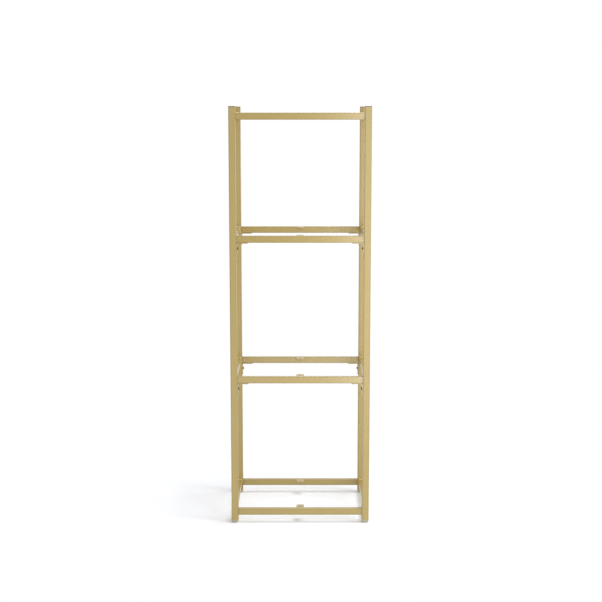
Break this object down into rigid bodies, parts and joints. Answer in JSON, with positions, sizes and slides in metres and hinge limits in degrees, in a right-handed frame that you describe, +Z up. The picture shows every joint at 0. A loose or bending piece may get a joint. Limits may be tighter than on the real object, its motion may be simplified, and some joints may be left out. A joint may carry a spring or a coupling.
{
  "type": "shelving unit",
  "caption": "Tall open shelving frame of square tube posts joined on every level by front, back and side rails, with shelf tabs, bolted brackets and levelling feet.",
  "frame": {"origin": "on the floor, under the middle of the frame", "axes": "+Z up, +X to the right seen from the front, +Y from the front to the back"},
  "size_m": [0.51, 0.38, 1.536],
  "materials": {
    "satin_gold": "satin gold lacquer",
    "dark_steel": "black oxide",
    "zinc_steel": "zinc plated",
    "grey_plastic": "moulded, matte"
  },
  "bodies": {
    "frame": {"post_front_left": "satin_gold", "post_cap_front_left": "satin_gold", "foot_insert_front_left": "grey_plastic", "rail_bracket_front_left_lower": "satin_gold", "rail_bracket_front_left_upper": "satin_gold", "post_front_right": "satin_gold", "post_cap_front_right": "satin_gold", "foot_insert_front_right": "grey_plastic", "rail_bracket_front_right_lower": "satin_gold", "rail_bracket_front_right_upper": "satin_gold", "front_rail_bottom": "satin_gold", "front_rail_lower": "satin_gold", "front_rail_upper": "satin_gold", "front_rail_top": "satin_gold", "shelf_tab_front_bottom": "satin_gold", "shelf_tab_front_lower": "satin_gold", "shelf_tab_front_upper": "satin_gold", "post_back_left": "satin_gold", "post_cap_back_left": "satin_gold", "foot_insert_back_left": "grey_plastic", "rail_bracket_back_left_lower": "satin_gold", "rail_bracket_back_left_upper": "satin_gold", "post_back_right": "satin_gold", "post_cap_back_right": "satin_gold", "foot_insert_back_right": "grey_plastic", "rail_bracket_back_right_lower": "satin_gold", "rail_bracket_back_right_upper": "satin_gold", "back_rail_bottom": "satin_gold", "back_rail_lower": "satin_gold", "back_rail_upper": "satin_gold", "back_rail_top": "satin_gold", "shelf_tab_back_bottom": "satin_gold", "shelf_tab_back_lower": "satin_gold", "shelf_tab_back_upper": "satin_gold", "side_rail_left_bottom": "satin_gold", "side_rail_left_lower": "satin_gold", "side_rail_left_upper": "satin_gold", "side_rail_left_top": "satin_gold", "side_rail_right_bottom": "satin_gold", "side_rail_right_lower": "satin_gold", "side_rail_right_upper": "satin_gold", "side_rail_right_top": "satin_gold", "bracket_bolts_lower": "dark_steel", "post_weld_nuts_lower": "zinc_steel", "bracket_bolts_upper": "dark_steel", "post_weld_nuts_upper": "zinc_steel", "rail_spigots_bottom": "zinc_steel", "spigot_screws_bottom": "dark_steel", "rail_spigots_top": "zinc_steel", "spigot_screws_top": "dark_steel"},
    "pad_front_left": {"glide_pad_front_left": "grey_plastic"},
    "stem_front_left": {"levelling_stem_front_left": "zinc_steel"},
    "pad_front_right": {"glide_pad_front_right": "grey_plastic"},
    "stem_front_right": {"levelling_stem_front_right": "zinc_steel"},
    "pad_back_left": {"glide_pad_back_left": "grey_plastic"},
    "stem_back_left": {"levelling_stem_back_left": "zinc_steel"},
    "pad_back_right": {"glide_pad_back_right": "grey_plastic"},
    "stem_back_right": {"levelling_stem_back_right": "zinc_steel"}
  },
  "joints": [
    {"name": "foot_front_left_rise", "type": "slide", "parent": "frame", "child": "pad_front_left", "axis": [0, 0, -1], "range_m": [0, 0.01]},
    {"name": "foot_front_left_screw", "type": "hinge", "parent": "pad_front_left", "child": "stem_front_left", "pos_m": [-0.2425, -0.1775, 0.0053], "axis": [0, 0, -1], "range_deg": [0, 2880]},
    {"name": "foot_front_right_rise", "type": "slide", "parent": "frame", "child": "pad_front_right", "axis": [0, 0, -1], "range_m": [0, 0.01]},
    {"name": "foot_front_right_screw", "type": "hinge", "parent": "pad_front_right", "child": "stem_front_right", "pos_m": [0.2425, -0.1775, 0.0053], "axis": [0, 0, -1], "range_deg": [0, 2880]},
    {"name": "foot_back_left_rise", "type": "slide", "parent": "frame", "child": "pad_back_left", "axis": [0, 0, -1], "range_m": [0, 0.01]},
    {"name": "foot_back_left_screw", "type": "hinge", "parent": "pad_back_left", "child": "stem_back_left", "pos_m": [-0.2425, 0.1775, 0.0053], "axis": [0, 0, -1], "range_deg": [0, 2880]},
    {"name": "foot_back_right_rise", "type": "slide", "parent": "frame", "child": "pad_back_right", "axis": [0, 0, -1], "range_m": [0, 0.01]},
    {"name": "foot_back_right_screw", "type": "hinge", "parent": "pad_back_right", "child": "stem_back_right", "pos_m": [0.2425, 0.1775, 0.0053], "axis": [0, 0, -1], "range_deg": [0, 2880]}
  ],
  "couplings": [
    {"joint": "foot_front_left_rise", "follows": "foot_front_left_screw", "m_per_rad": 0.00019894},
    {"joint": "foot_front_right_rise", "follows": "foot_front_right_screw", "m_per_rad": 0.00019894},
    {"joint": "foot_back_left_rise", "follows": "foot_back_left_screw", "m_per_rad": 0.00019894},
    {"joint": "foot_back_right_rise", "follows": "foot_back_right_screw", "m_per_rad": 0.00019894}
  ]
}
